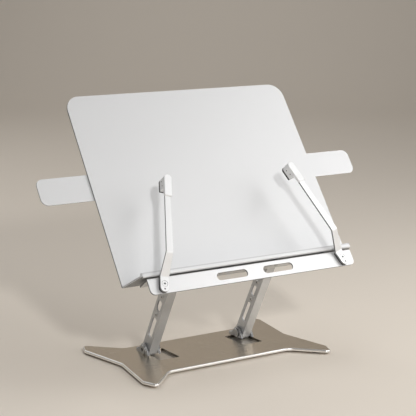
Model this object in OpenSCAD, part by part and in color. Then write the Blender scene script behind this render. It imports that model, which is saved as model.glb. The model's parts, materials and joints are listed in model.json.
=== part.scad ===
// Folding metal book stand: a plate base, two channel arms on friction hinges, and a tray with a slotted
// front rail, two swinging page clips and two side wings that slide out from behind the panel.
// X runs across the stand, -Y faces the reader and Z is up. The origin lies on the desk, in the middle.

/* [Base plate] */
// Width across the corner prongs, to where their edges would meet
base_w = 270; // [240:2:320]
// Depth across the corner prongs, to where their edges would meet
base_d = 190; // [170:2:230]
// Length of the straight front edge between the prongs
front_edge_w = 176; // [160:2:190]
// Depth between the straight front and rear edges
waist_d = 112; // [108:1:130]
// Width at the waist half way along each side
waist_w = 244; // [220:2:256]
// How far the prong's tip lies in from the full width
prong_inset = 8; // [4:1:16]
// Depth of the slanted end of a prong
prong_end_d = 21.5; // [14:0.5:30]
// Corner radius of the prongs
prong_r = 5; // [3:0.5:8]
// Fillet radius in the waists
waist_r = 16; // [6:1:24]
// Thickness of the plate
base_t = 4; // [3:0.5:6]
// Height of the rubber feet
foot_h = 2; // [1.5:0.5:4]
// Diameter of the rubber feet
foot_dia = 14; // [10:1:18]
// How far a foot's centre lies in from the prong's tip, across and along
foot_inset = [15, 22]; // [12:1:24]

/* [Arms] */
// Distance of each arm's middle from the middle of the stand
arm_x = 70; // [60:1:80]
// Length between an arm's two pivots
arm_len = 144; // [136:1:170]
// Lean of the arms towards the reader as the stand is set up, in degrees
arm_lean = 28.7; // [15:0.1:40]
// Width of the channel
arm_w = 12; // [10:0.5:16]
// Depth of the channel
arm_depth = 17.5; // [14:0.5:18]
// Wall of the channel
arm_wall = 2; // [1.5:0.1:2.5]
// Width of the slots in the channel's sides
arm_slot_w = 10.5; // [4:0.5:11]
// Outer diameter of the spacers between the channel's sides
spacer_dia = 6; // [5:0.5:8]

/* [Hinges] */
// How far the base hinges lie behind the middle of the base
hinge_back = 21; // [14:1:24]
// Height of the base hinge axis over the plate
hinge_rise = 6; // [5:0.5:8]
// Radius of the round ears
ear_r = 7.5; // [7:0.5:9]
// How far an ear's base reaches behind the pivot
ear_heel = 16; // [14:1:20]
// How far an ear's base reaches in front of the pivot
ear_toe = 11; // [9:1:13]
// Thickness of the bracket's sheet
bracket_t = 2.5; // [2:0.1:3]
// Length of a bracket's foot
bracket_foot = 12; // [10:1:16]
// Diameter of the pivot screws
pivot_dia = 6; // [4:0.5:7]
// Diameter of the pivot screw's head and of its round nut
pivot_head_dia = 11; // [9:0.5:13]
// Thickness of the pivot screw's head
pivot_head_t = 2.2; // [1.5:0.1:3]
// Thickness of the friction washers
washer_t = 0.8; // [0.5:0.1:1.5]
// Diameter of the friction washers
washer_dia = 12; // [10:0.5:14]
// Diameter of the screws that hold the brackets
bracket_screw_dia = 3; // [2.5:0.5:3.5]

/* [Panel and shelf] */
// Width of the back panel at its foot
panel_w = 323; // [310:1:380]
// Width of the back panel at its top
panel_top_w = 317; // [300:1:323]
// Height of the back panel
panel_h = 252; // [200:2:320]
// Thickness of the panel's sheet
panel_t = 2; // [1.6:0.1:3]
// Radius of the panel's upper corners
panel_r = 19; // [5:1:30]
// Lean of the panel back from upright, in degrees
panel_lean = 35.7; // [20:0.1:45]
// Depth of the shelf in front of the panel
shelf_d = 29; // [24:1:40]
// Width of the shelf along its front
shelf_front_w = 298; // [294:1:300]
// Height of the turned-up edge of the shelf
shelf_lip_h = 4.5; // [3.5:0.5:10]
// Inside radius of the fold between the panel and the shelf
fold_r = 0.5; // [0.5:0.5:6]
// Height of the tray's pivots over the foot of the panel
pivot_up = 30; // [24:1:40]
// Distance of the tray's pivots behind the panel's back
pivot_off = 12; // [11.5:0.5:16]

/* [Front rail] */
// Length of the rail
rail_w = 290; // [284:1:294]
// Height of the rail's face
rail_h = 20; // [17:0.5:24]
// Gap between the shelf and the rail
rail_gap = 4; // [2:0.5:6]
// Thickness of the rail's sheet
rail_t = 2; // [1.5:0.1:3]
// How far the rail's face stands in front of the shelf's edge
rail_proud = 0.5; // [0.2:0.1:2]
// Depth of the flange that runs back under the shelf
rail_flange_d = 20; // [16:1:23]
// Radius of the rail's lower corners
rail_r = 6; // [2:0.5:9]
// Length of each slot in the rail
rail_slot_l = 43; // [30:1:60]
// Height of the slots in the rail
rail_slot_h = 9.5; // [6:0.5:10]
// Clear metal between the two slots
rail_bridge = 22.6; // [16:0.2:40]

/* [Page clips] */
// Distance of each clip's pivot from the middle of the stand
clip_x = 127; // [115:1:132]
// Lean of the clips towards the middle, in degrees
clip_lean = 17.4; // [0:0.1:30]
// Length from the pivot to the clip's bend
clip_bend_l = 33.4; // [28:0.2:42]
// Length from the pivot to the end of the clip
clip_l = 130; // [110:1:150]
// How far the bend stands in front of the rail
clip_bend_n = 21.5; // [18:0.5:30]
// How far the end of the clip stands in front of the rail
clip_end_n = 21; // [14:0.5:24]
// Width of the clip at its foot
clip_foot_w = 11; // [10.5:0.5:16]
// Width of the clip at its bend
clip_bend_w = 8.5; // [7:0.5:10]
// Width of the clip at its end
clip_end_w = 7; // [6:0.5:9]
// Length of the foot below the pivot
clip_foot_l = 10; // [9.5:0.5:13]
// Thickness of the clip's strip
clip_t = 2.4; // [1.8:0.1:3]
// Thickness of the shim behind the foot
shim_t = 2.4; // [1:0.1:4]
// Diameter of the clip's pivot screw
clip_screw_dia = 4; // [3:0.5:5]
// Diameter of the clip screw's sunk head
clip_head_dia = 7; // [6:0.5:7]
// Length of the cap on the clip's end
cap_l = 17; // [12:0.5:32]
// Width of the cap
cap_w = 9.5; // [9:0.5:16]
// Thickness of the rubber sole on the cap
sole_t = 2.5; // [1.5:0.5:4]

/* [Side wings] */
// Height of a wing
wing_h = 34; // [28:1:40]
// Height of a wing's lower edge over the foot of the panel
wing_v = 113.5; // [100:0.5:140]
// Thickness of a wing
wing_t = 1.6; // [1.2:0.1:2]
// How far a wing stands out past the panel's edge
wing_out = 65.5; // [40:0.5:80]
// Length of a wing
wing_l = 157; // [150:1:160]
// Radius of a wing's outer corners
wing_r = 9; // [3:1:14]
// Length of the guide that holds a wing
guide_l = 72; // [60:1:76]
// How far the guide's end lies in from the panel's edge
guide_inset = 5.5; // [3:0.5:8]
// Thickness of the guide's sheet
guide_t = 1.2; // [1:0.1:1.6]
// Width of the guide's riveted flanges
guide_flange = 8; // [6:0.5:10]
// Play of a wing in its guide on every side
wing_play = 0.2; // [0.1:0.05:0.4]

/* [Hidden] */
$fn = 48;

// Finishes
BASE_GREY = "#8f8b84";
ARM_GREY = "#a3a3a1";
TRAY_WHITE = "#dedddb";
STEEL = "#b9b9b8";
BLACK = "#232323";
NYLON = "#3a3a3c";

// Fits: running play of a pin, clearance beside a washer, seat of a fixed screw, and cutting overshoot
pin_play = 0.05;
washer_play = 0.05;
seat_play = 0.05;
eps = 0.5;
arc_steps = 8;

// Heights of the base and places of the hinges
base_top = foot_h + base_t;
hinge_z = base_top + hinge_rise;
arm_end_r = arm_depth / 2;
ear_gap = washer_t + 2 * washer_play;
ear_in = arm_w / 2 + ear_gap;
ear_out = ear_in + bracket_t;
recess_margin = 1.2;
recess_front = 26;
recess_side = 13;
recess_play = 0.3;
bracket_near = arm_end_r + 2;
ear_blend = 0.1;
bracket_screw_pitch = 7;
bracket_screw_head_t = 1.6;
base_screw_floor = 0.4;
tray_screw_floor = 0.6;

// Features along an arm, measured from its lower pivot
arm_slots = [[20, 51], [63, 79], [93, 124]];
arm_spacer_places = [57, 86];
rivet_dia = 3.2;
rivet_head_dia = 5.5;
rivet_bore = 2;
rivet_head_t = 1;
bush_wall = 1.6;
nut_t = 2.6;
nut_floor = 0.8;

// The tray's frame: its origin is the foot of the panel's front face, with Y' behind it and Z' up the panel
pivot_back = pivot_off + panel_t;
upper_y = hinge_back - arm_len * sin(arm_lean);
upper_z = hinge_z + arm_len * cos(arm_lean);
tray_y = upper_y - pivot_back * cos(panel_lean) - pivot_up * sin(panel_lean);
tray_z = upper_z + pivot_back * sin(panel_lean) - pivot_up * cos(panel_lean);

// Rail and clips, as distances n in front of the panel and v up it
rail_n = shelf_d + rail_proud;
rail_top_v = -rail_gap;
rail_low_v = rail_top_v - rail_h;
clip_v = rail_top_v - rail_h / 2;
shim_play = 0.1;
clip_back_n = shim_play + shim_t;
clip_face_n = clip_back_n + clip_t;
clip_head_t = 1.3;
clip_head_play = 0.1;
clip_straight = 9;
cap_front = 1.2;
cap_depth = 11.5;
cap_skirt = 11;
cap_over = 2.5;
cap_face_n = clip_end_n + cap_front + 1;
cap_back_n = clip_end_n - cap_depth;
cap_low = clip_l + cap_over - cap_l;
clip_index_dia = 1.8;
clip_index_l = -6.5;
rail_spacer_dia = 8;
rail_rivet_places = [40, 110];
rail_rivet_n = rail_n - rail_flange_d / 2 - 2;
rail_rivet_floor = 0.6;

// Wings and their guides
wing_tip_x = panel_w / 2 + wing_out;
wing_in_x = wing_tip_x - wing_l;
guide_out_x = panel_w / 2 - guide_inset;
guide_in_x = guide_out_x - guide_l;
guide_pocket = wing_t + 2 * wing_play;
wing_stop_h = 3.6;
wing_stop_w = 17;
guide_rivet_dia = 2.4;
guide_rivet_head = 5;
guide_rivet_end = 8;
guide_rivet_floor = 0.8;

// One quarter of the base's outline, and how far its rounded prongs reach
base_quarter = [
    [front_edge_w / 2, -waist_d / 2], [base_w / 2 - prong_inset, -base_d / 2],
    [base_w / 2, -base_d / 2 + prong_end_d], [waist_w / 2, 0]
];
base_reach = prong_r - corner_centre(base_quarter[0], base_quarter[1], base_quarter[2], prong_r).y;

// The origin is put in the middle of the stand's depth
clip_low_v = clip_v - (clip_foot_l - clip_foot_w / 2) * cos(clip_lean) - clip_foot_w / 2;
front_y = tray_y - (rail_n + clip_face_n) * cos(panel_lean) + clip_low_v * sin(panel_lean);
rear_y = max(base_reach, tray_y + panel_h * sin(panel_lean) + panel_t * cos(panel_lean));
base_y = -(front_y + rear_y) / 2;

function unit(v) = v / norm(v);
// Half the angle of the corner q between p and r, and the centre of the arc that rounds it
function half_angle(p, q, r) = acos(unit(p - q) * unit(r - q)) / 2;
function corner_centre(p, q, r, rad) = q + unit(unit(p - q) + unit(r - q)) * rad / sin(half_angle(p, q, r));
// Points of that arc
function corner(p, q, r, rad) =
    let (c = corner_centre(p, q, r, rad), reach = rad / tan(half_angle(p, q, r)))
    let (s = q + unit(p - q) * reach - c, e = q + unit(r - q) * reach - c)
    let (from = atan2(s.y, s.x), turn = atan2(s.x * e.y - s.y * e.x, s * e))
    rad <= 0 ? [q] :
    [for (i = [0 : arc_steps]) let (a = from + turn * i / arc_steps) c + rad * [cos(a), sin(a)]];
// A closed outline with each corner rounded by its own radius
function rounded(pts, radii) =
    let (n = len(pts))
    [for (i = [0 : n - 1]) each corner(pts[(i + n - 1) % n], pts[i], pts[(i + 1) % n], radii[i])];
// The point where a line from p touches a circle, on the side given by +1 or -1
function tangent(c, r, p, side) =
    let (d = p - c, a = atan2(d.y, d.x) + side * acos(r / norm(d)))
    c + r * [cos(a), sin(a)];
// Offset of the middle point of a bent strip, by its thickness across the bend
function miter(p, q, r, t) =
    let (a = unit(q - p), b = unit(r - q), m = unit([-a.y, a.x] + [-b.y, b.x]))
    q + m * t / (m * [-a.y, a.x]);

// Frames and ways of extruding
module on_base() translate([0, base_y, 0]) children();
module on_arm() translate([0, base_y + hinge_back, hinge_z]) rotate([arm_lean, 0, 0]) children();
module on_tray() translate([0, base_y + tray_y, tray_z]) rotate([-panel_lean, 0, 0]) children();
module left_side() mirror([1, 0, 0]) children();
module both_sides() {
    children();
    left_side() children();
}
// An outline of forward distance and height, run across the stand from x0 to x1
module across(x0, x1) translate([x1, 0, 0]) rotate([90, 0, -90]) linear_extrude(x1 - x0) children();
// An outline seen from the front, as a plate from n0 to n1 in front of its frame
module facing(n0, n1) translate([0, -n0, 0]) rotate([90, 0, 0]) linear_extrude(n1 - n0) children();
// A round bar along X
module bar_x(x0, x1, d) translate([x0, 0, 0]) rotate([0, 90, 0]) cylinder(h = x1 - x0, d = d);
// A slot with round ends, upright, between two heights
module upright_slot(z0, z1, w) {
    translate([0, z0 + w / 2]) circle(d = w);
    translate([0, z1 - w / 2]) circle(d = w);
    translate([-w / 2, z0 + w / 2]) square([w, z1 - z0 - w]);
}

// Base

module base_outline() {
    ends = [for (i = [2 : -1 : 0]) [base_quarter[i].x, -base_quarter[i].y]];
    right = concat(base_quarter, ends);
    left = [for (i = [len(right) - 1 : -1 : 0]) [-right[i].x, right[i].y]];
    radii = [waist_r, prong_r, prong_r, waist_r, prong_r, prong_r, waist_r];
    polygon(rounded(concat(right, left), concat(radii, radii)));
}

// Recess under a hinge, into which the arm's foot turns
module hinge_recess() {
    inner = arm_x - ear_out - recess_side;
    outer = arm_x + ear_in;
    front = hinge_back - recess_front - arm_end_r;
    rear = hinge_back + arm_end_r + recess_margin;
    corner_r = 2;
    polygon(rounded(
        [[inner, front], [outer, front], [outer, rear], [inner, rear]],
        [corner_r, corner_r, corner_r, corner_r]));
}

module bracket_screw_places() for (s = [-1, 1])
    translate([s * bracket_screw_pitch / 2, bracket_near + bracket_foot / 2]) children();

module base_plate() color(BASE_GREY) on_base() difference() {
    translate([0, 0, foot_h]) linear_extrude(base_t) base_outline();
    both_sides() translate([0, 0, hinge_z - arm_end_r - recess_play]) linear_extrude(base_top) hinge_recess();
    both_sides() translate([arm_x, hinge_back, foot_h + base_screw_floor]) bracket_screw_places()
        cylinder(h = base_t, d = bracket_screw_dia + 2 * seat_play);
}

module base_feet() color(BLACK) on_base() both_sides() for (s = [-1, 1])
    translate([base_w / 2 - foot_inset.x, s * (base_d / 2 - foot_inset.y), 0])
        cylinder(h = foot_h, d = foot_dia);

// A folded bracket on the plane z = 0: two flared ears with a foot between them. The pivot runs along X at the
// height given over y = 0
module hinge_bracket(axis_h) {
    axis = [0, axis_h];
    heel = tangent(axis, ear_r - ear_blend, [ear_heel, 0], 1);
    toe = tangent(axis, ear_r - ear_blend, [-ear_toe, 0], -1);
    for (s = [-1, 1]) translate([s * (ear_in + bracket_t / 2), 0, 0])
        rotate([90, 0, 90]) translate([0, 0, -bracket_t / 2]) linear_extrude(bracket_t) difference() {
            intersection() {
                union() {
                    translate(axis) circle(r = ear_r);
                    polygon([axis, heel, [ear_heel, 0], [-ear_toe, 0], toe]);
                }
                translate([-ear_toe - ear_r, 0]) square([ear_toe + ear_heel + 2 * ear_r, axis_h + 2 * ear_r]);
            }
            translate(axis) circle(d = pivot_dia + 2 * seat_play);
        }
    difference() {
        translate([-ear_in, bracket_near, 0]) cube([2 * ear_in, bracket_foot, bracket_t]);
        translate([0, 0, -eps]) bracket_screw_places()
            cylinder(h = bracket_t + 2 * eps, d = bracket_screw_dia + 2 * seat_play);
    }
}

// A round-headed screw standing on z = 0, with a socket in its head and a shank of the length given
module socket_screw(shank, dia, head_dia, head_t) {
    socket_w = dia * 0.6;
    difference() {
        union() {
            cylinder(h = head_t, d = head_dia);
            translate([0, 0, -shank]) cylinder(h = shank, d = dia);
        }
        translate([0, 0, head_t / 2]) cylinder(h = head_t, d = socket_w, $fn = 6);
    }
}

module base_bracket() on_base() translate([arm_x, hinge_back, base_top]) hinge_bracket(hinge_rise);
module base_bracket_left() color(BASE_GREY) left_side() base_bracket();
module base_bracket_right() color(BASE_GREY) base_bracket();

module base_bracket_screws() color(STEEL) on_base() both_sides()
    translate([arm_x, hinge_back, base_top + bracket_t]) bracket_screw_places()
        socket_screw(bracket_t + base_t - base_screw_floor, bracket_screw_dia,
            2 * bracket_screw_dia - 1, bracket_screw_head_t);

// Pivot hardware about the X axis: the head lies on the outer ear and the nut on the inner one
module pivot_screw() translate([ear_out, 0, 0]) rotate([0, 90, 0])
    socket_screw(2 * ear_out + nut_t - nut_floor - seat_play, pivot_dia, pivot_head_dia, pivot_head_t);

module pivot_nut() translate([-ear_out - nut_t, 0, 0]) difference() {
    bar_x(0, nut_t, pivot_head_dia);
    bar_x(nut_floor, nut_t + eps, pivot_dia + 2 * seat_play);
}

module pivot_washers() for (s = [-1, 1])
    translate([s * (arm_w / 2 + ear_gap / 2) - washer_t / 2, 0, 0]) difference() {
        bar_x(0, washer_t, washer_dia);
        translate([-eps, 0, 0]) bar_x(0, washer_t + 2 * eps, pivot_dia + 2 * seat_play);
    }

module at_base_hinge() on_base() both_sides() translate([arm_x, hinge_back, hinge_z]) children();
module base_pivot_screws() color(STEEL) at_base_hinge() pivot_screw();
module base_pivot_nuts() color(STEEL) at_base_hinge() pivot_nut();
module base_washers() color(NYLON) at_base_hinge() pivot_washers();

// Arms

// Side view of an arm, depth along X and length along Y, drawn in by a wall
module arm_side(inset) {
    upright_slot(-arm_end_r + inset, arm_len + arm_end_r - inset, arm_depth - 2 * inset);
}

// A folded channel with a plain front, open at the back, with slots and rivet holes in both sides
module arm() on_arm() translate([arm_x, 0, 0]) difference() {
    across(-arm_w / 2, arm_w / 2) difference() {
        arm_side(0);
        for (end = [0, arm_len]) translate([0, end]) circle(d = pivot_dia + 2 * pin_play);
        for (span = arm_slots) upright_slot(span[0], span[1], arm_slot_w);
        for (place = arm_spacer_places) translate([0, place]) circle(d = rivet_dia + 2 * seat_play);
    }
    across(-arm_w / 2 + arm_wall, arm_w / 2 - arm_wall) {
        arm_side(arm_wall);
        translate([-arm_depth, -arm_depth]) square([arm_depth, arm_len + 2 * arm_depth]);
    }
}

module arm_left() color(ARM_GREY) left_side() arm();
module arm_right() color(ARM_GREY) arm();

// A sleeve between the channel's sides
module sleeve(outer, inner) {
    half = arm_w / 2 - arm_wall;
    difference() {
        bar_x(-half, half, outer);
        bar_x(-half - eps, half + eps, inner);
    }
}

module arm_bushes(place) color(STEEL) on_arm() both_sides() translate([arm_x, 0, place])
    sleeve(pivot_dia + 2 * (pin_play + bush_wall), pivot_dia + 2 * pin_play);
module arm_lower_bushes() arm_bushes(0);
module arm_upper_bushes() arm_bushes(arm_len);

module arm_spacers() color(STEEL) on_arm() both_sides() for (place = arm_spacer_places)
    translate([arm_x, 0, place]) sleeve(spacer_dia, rivet_dia + 2 * seat_play);

module arm_rivets() color(STEEL) on_arm() both_sides() for (place = arm_spacer_places)
    translate([arm_x, 0, place]) difference() {
        reach = arm_w / 2 + rivet_head_t;
        union() {
            bar_x(-reach, -arm_w / 2, rivet_head_dia);
            bar_x(-reach, reach, rivet_dia);
            bar_x(arm_w / 2, reach, rivet_head_dia);
        }
        bar_x(-reach - eps, reach + eps, rivet_bore);
    }

// Tray

// Section through the folded sheet: panel, shelf and turned-up edge
module tray_section() {
    t = panel_t;
    lip_r = 0.5;
    polygon(rounded(
        [[-t, 0], [shelf_d, 0], [shelf_d, shelf_lip_h], [shelf_d - t, shelf_lip_h], [shelf_d - t, t], [0, t],
            [0, panel_h], [-t, panel_h]],
        [fold_r + t, 2 * lip_r, 0, 0, lip_r, fold_r, 0, 0]));
}

module panel_outline() polygon(rounded(
    [[-panel_w / 2, -eps], [panel_w / 2, -eps], [panel_top_w / 2, panel_h], [-panel_top_w / 2, panel_h]],
    [0, 0, panel_r, panel_r]));

// Plan of the tray: full width at the panel, narrower along the shelf's front
module shelf_plan() {
    shelf_r = 4;
    polygon(rounded(
        [[-shelf_front_w / 2, -shelf_d], [shelf_front_w / 2, -shelf_d], [panel_w / 2, 0],
            [panel_w / 2, panel_t + eps], [-panel_w / 2, panel_t + eps], [-panel_w / 2, 0]],
        [shelf_r, shelf_r, 0, 0, 0, 0]));
}

module rail_rivet_sites() both_sides() for (x = rail_rivet_places)
    translate([x, -rail_rivet_n, 0]) children();

module tray_bracket_frame() translate([arm_x, panel_t, pivot_up])
    rotate([90, 0, 0]) mirror([0, 0, 1]) children();

module guide_rivet_sites() {
    reach = wing_h / 2 + wing_play + guide_t + guide_flange / 2;
    both_sides() for (x = [guide_in_x + guide_rivet_end, guide_out_x - guide_rivet_end])
        for (s = [-1, 1]) translate([x, panel_t + guide_t, wing_v + wing_h / 2 + s * reach])
            rotate([-90, 0, 0]) children();
}

module back_panel() color(TRAY_WHITE) on_tray() difference() {
    intersection() {
        across(-panel_w / 2, panel_w / 2) tray_section();
        facing(-panel_t - eps, shelf_d + eps) panel_outline();
        translate([0, 0, -eps]) linear_extrude(panel_h + 2 * eps) shelf_plan();
    }
    rail_rivet_sites() translate([0, 0, -eps])
        cylinder(h = panel_t + eps - rail_rivet_floor, d = rivet_dia + 2 * seat_play);
    both_sides() tray_bracket_frame() translate([0, 0, tray_screw_floor - panel_t]) bracket_screw_places()
        cylinder(h = panel_t, d = bracket_screw_dia + 2 * seat_play);
    guide_rivet_sites() translate([0, 0, guide_rivet_floor - panel_t - guide_t])
        cylinder(h = panel_t + guide_t, d = guide_rivet_dia + 2 * seat_play);
}

module tray_bracket() on_tray() tray_bracket_frame() hinge_bracket(pivot_off);
module tray_bracket_left() color(STEEL) left_side() tray_bracket();
module tray_bracket_right() color(STEEL) tray_bracket();

module tray_bracket_screws() color(STEEL) on_tray() both_sides() tray_bracket_frame()
    translate([0, 0, bracket_t]) bracket_screw_places()
        socket_screw(bracket_t + panel_t - tray_screw_floor, bracket_screw_dia,
            2 * bracket_screw_dia - 1, bracket_screw_head_t);

module at_tray_hinge() on_tray() both_sides() translate([arm_x, pivot_back, pivot_up]) children();
module tray_pivot_screws() color(STEEL) at_tray_hinge() pivot_screw();
module tray_pivot_nuts() color(STEEL) at_tray_hinge() pivot_nut();
module tray_washers() color(NYLON) at_tray_hinge() pivot_washers();

// Angle section of the rail: a face in front and a flange back under the shelf
module rail_section() {
    fold = 0.5;
    polygon(rounded(
        [[rail_n, rail_low_v], [rail_n, rail_top_v], [rail_n - rail_flange_d, rail_top_v],
            [rail_n - rail_flange_d, rail_top_v - rail_t], [rail_n - rail_t, rail_top_v - rail_t],
            [rail_n - rail_t, rail_low_v]],
        [0, 2 * fold, 0, 0, fold, 0]));
}

module rail_outline() polygon(rounded(
    [[-rail_w / 2, rail_low_v], [rail_w / 2, rail_low_v], [rail_w / 2, rail_top_v + eps],
        [-rail_w / 2, rail_top_v + eps]],
    [rail_r, rail_r, 0, 0]));

module rail_slot() translate([rail_bridge / 2, clip_v]) {
    for (x = [rail_slot_h / 2, rail_slot_l - rail_slot_h / 2]) translate([x, 0]) circle(d = rail_slot_h);
    translate([rail_slot_h / 2, -rail_slot_h / 2]) square([rail_slot_l - rail_slot_h, rail_slot_h]);
}

module front_rail() color(TRAY_WHITE) on_tray() difference() {
    intersection() {
        across(-rail_w / 2, rail_w / 2) rail_section();
        facing(rail_n - rail_flange_d - eps, rail_n + eps) rail_outline();
    }
    facing(rail_n - rail_t - eps, rail_n + eps) both_sides() {
        rail_slot();
        translate([clip_x, clip_v]) circle(d = clip_screw_dia + 2 * seat_play);
    }
    rail_rivet_sites() translate([0, 0, rail_top_v - rail_t - eps])
        cylinder(h = rail_t + 2 * eps, d = rivet_dia + 2 * seat_play);
}

module rail_spacers() color(NYLON) on_tray() rail_rivet_sites() translate([0, 0, rail_top_v]) difference() {
    cylinder(h = rail_gap, d = rail_spacer_dia);
    translate([0, 0, -eps]) cylinder(h = rail_gap + 2 * eps, d = rivet_dia + 2 * seat_play);
}

module rail_rivets() color(STEEL) on_tray() rail_rivet_sites() translate([0, 0, rail_top_v - rail_t]) {
    translate([0, 0, -rivet_head_t]) cylinder(h = rivet_head_t, d = rivet_head_dia);
    cylinder(h = rail_t + rail_gap + panel_t - rail_rivet_floor, d = rivet_dia);
}

// Side wings

// Hat section that keeps a wing flat against the panel's back
module guide_section() {
    back = -panel_t;
    low = wing_v - wing_play;
    high = wing_v + wing_h + wing_play;
    roof = back - guide_pocket;
    wide = guide_t + guide_flange;
    polygon([
        [back, low - wide], [back, low], [roof, low], [roof, high], [back, high], [back, high + wide],
        [back - guide_t, high + wide], [back - guide_t, high + guide_t], [roof - guide_t, high + guide_t],
        [roof - guide_t, low - guide_t], [back - guide_t, low - guide_t], [back - guide_t, low - wide]
    ]);
}

module wing_guide() on_tray() difference() {
    across(guide_in_x, guide_out_x) guide_section();
    guide_rivet_sites() translate([0, 0, -guide_t - eps])
        cylinder(h = guide_t + 2 * eps, d = guide_rivet_dia + 2 * seat_play);
}
module wing_guide_left() color(TRAY_WHITE) left_side() wing_guide();
module wing_guide_right() color(TRAY_WHITE) wing_guide();

module guide_rivets() color(STEEL) on_tray() guide_rivet_sites() {
    cylinder(h = rivet_head_t, d = guide_rivet_head);
    translate([0, 0, guide_rivet_floor - panel_t - guide_t])
        cylinder(h = panel_t + guide_t - guide_rivet_floor, d = guide_rivet_dia);
}

// A flat wing with rounded outer corners and a stop turned back at its inner end
module wing() on_tray() {
    near_n = -panel_t - wing_play;
    high = wing_v + wing_h;
    facing(near_n - wing_t, near_n) polygon(rounded(
        [[wing_in_x, wing_v], [wing_tip_x, wing_v], [wing_tip_x, high], [wing_in_x, high]],
        [0, wing_r, wing_r, 0]));
    translate([wing_in_x, -near_n, wing_v + (wing_h - wing_stop_w) / 2])
        cube([wing_t, wing_t + wing_stop_h, wing_stop_w]);
}

module wing_left() color(TRAY_WHITE) left_side() wing();
module wing_right() color(TRAY_WHITE) wing();

// Page clips, in a frame at the pivot on the rail's face, leaning with the clip

module on_clip() on_tray() translate([clip_x, -rail_n, clip_v]) rotate([0, -clip_lean, 0]) children();

// Side view of the bent strip: foot, slanted stretch and long finger
module clip_section() {
    foot = [clip_back_n, -clip_foot_l - eps];
    knee = [clip_back_n, clip_straight];
    bend = [clip_bend_n - clip_t, clip_bend_l];
    end = [clip_end_n - clip_t, clip_l + eps];
    knee_in = miter(foot, knee, bend, -clip_t);
    bend_in = miter(knee, bend, end, -clip_t);
    bend_r = 5;
    tight_r = 2;
    polygon(rounded(
        [foot, foot + [clip_t, 0], knee_in, bend_in, end + [clip_t, 0], end, bend, knee],
        [0, 0, tight_r, bend_r + clip_t, 0, 0, bend_r, tight_r + clip_t]));
}

// Front view of the strip: a round foot, tapering to the finger
module clip_outline() {
    foot_r = clip_foot_w / 2;
    bend_r = clip_bend_w / 2;
    end_r = clip_end_w / 2;
    translate([0, foot_r - clip_foot_l]) circle(r = foot_r);
    translate([0, clip_l - end_r]) circle(r = end_r);
    polygon([[-foot_r, foot_r - clip_foot_l], [foot_r, foot_r - clip_foot_l], [foot_r, clip_straight],
        [bend_r, clip_bend_l], [end_r, clip_l - end_r], [-end_r, clip_l - end_r], [-bend_r, clip_bend_l],
        [-foot_r, clip_straight]]);
}

module clip_strip() intersection() {
    across(-clip_foot_w, clip_foot_w) clip_section();
    facing(0, clip_bend_n + clip_t) clip_outline();
}

module clip_bar() on_clip() difference() {
    clip_strip();
    facing(0, clip_face_n + eps) {
        circle(d = clip_screw_dia + 2 * pin_play);
        translate([0, clip_index_l]) circle(d = clip_index_dia);
    }
    facing(clip_face_n - clip_head_t - clip_head_play, clip_face_n + eps)
        circle(d = clip_head_dia + 4 * clip_head_play);
}
module clip_bar_left() color(TRAY_WHITE) left_side() clip_bar();
module clip_bar_right() color(TRAY_WHITE) clip_bar();

// Front view of the cap: round over the end of the clip, square below
module cap_outline(low) {
    high = clip_l + cap_over;
    half = cap_w / 2;
    translate([0, high - half]) circle(r = half);
    translate([-half, low]) square([cap_w, high - half - low]);
}

module clip_cap() on_clip() difference() {
    union() {
        facing(cap_back_n, cap_face_n) cap_outline(cap_low);
        facing(cap_face_n - cap_front - clip_t, cap_face_n) cap_outline(cap_low - cap_skirt);
    }
    clip_strip();
}
module clip_cap_left() color(TRAY_WHITE) left_side() clip_cap();
module clip_cap_right() color(TRAY_WHITE) clip_cap();

module clip_sole() on_clip() facing(cap_back_n - sole_t, cap_back_n) cap_outline(cap_low);
module clip_sole_left() color(BLACK) left_side() clip_sole();
module clip_sole_right() color(BLACK) clip_sole();

module clip_shim() on_clip() facing(shim_play, clip_back_n) difference() {
    foot_r = clip_foot_w / 2;
    union() {
        translate([0, foot_r - clip_foot_l]) circle(r = foot_r);
        translate([-foot_r, foot_r - clip_foot_l])
            square([clip_foot_w, clip_foot_l - foot_r + clip_straight]);
    }
    circle(d = clip_screw_dia + 2 * pin_play);
    translate([0, clip_index_l]) circle(d = clip_index_dia);
}
module clip_shim_left() color(BLACK) left_side() clip_shim();
module clip_shim_right() color(BLACK) clip_shim();

module at_clip_pivot() on_tray() both_sides() translate([clip_x, -rail_n, clip_v])
    rotate([90, 0, 0]) children();

module clip_screws() color(STEEL) at_clip_pivot() translate([0, 0, clip_face_n - clip_head_t])
    socket_screw(clip_face_n - clip_head_t + rail_t + nut_t, clip_screw_dia, clip_head_dia, clip_head_t);

module clip_nuts() color(STEEL) at_clip_pivot() translate([0, 0, -rail_t - nut_t]) difference() {
    cylinder(h = nut_t, d = clip_head_dia + 1, $fn = 6);
    translate([0, 0, -eps]) cylinder(h = nut_t + 2 * eps, d = clip_screw_dia + 2 * seat_play);
}

base_plate();
base_feet();
base_bracket_left();
base_bracket_right();
base_bracket_screws();
base_pivot_screws();
base_pivot_nuts();
base_washers();
arm_left();
arm_right();
arm_lower_bushes();
arm_upper_bushes();
arm_spacers();
arm_rivets();
back_panel();
front_rail();
rail_spacers();
rail_rivets();
tray_bracket_left();
tray_bracket_right();
tray_bracket_screws();
tray_pivot_screws();
tray_pivot_nuts();
tray_washers();
wing_guide_left();
wing_guide_right();
guide_rivets();
clip_screws();
clip_nuts();
wing_left();
wing_right();
clip_bar_left();
clip_cap_left();
clip_sole_left();
clip_shim_left();
clip_bar_right();
clip_cap_right();
clip_sole_right();
clip_shim_right();
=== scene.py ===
"""Looks of a folding metal book stand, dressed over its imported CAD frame.

Most pieces are the CAD solids with their edges broken, fasteners come from Geometry Nodes, and the feet, the hem
under the lip and the pins in the caps are modelled here. Every piece rides on the CAD body that carries it.
"""

from __future__ import annotations

import json
import logging
import math
from dataclasses import astuple, dataclass, field, fields
from enum import Enum
from typing import Any, Callable, Iterable, Mapping, Sequence, Union

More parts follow.
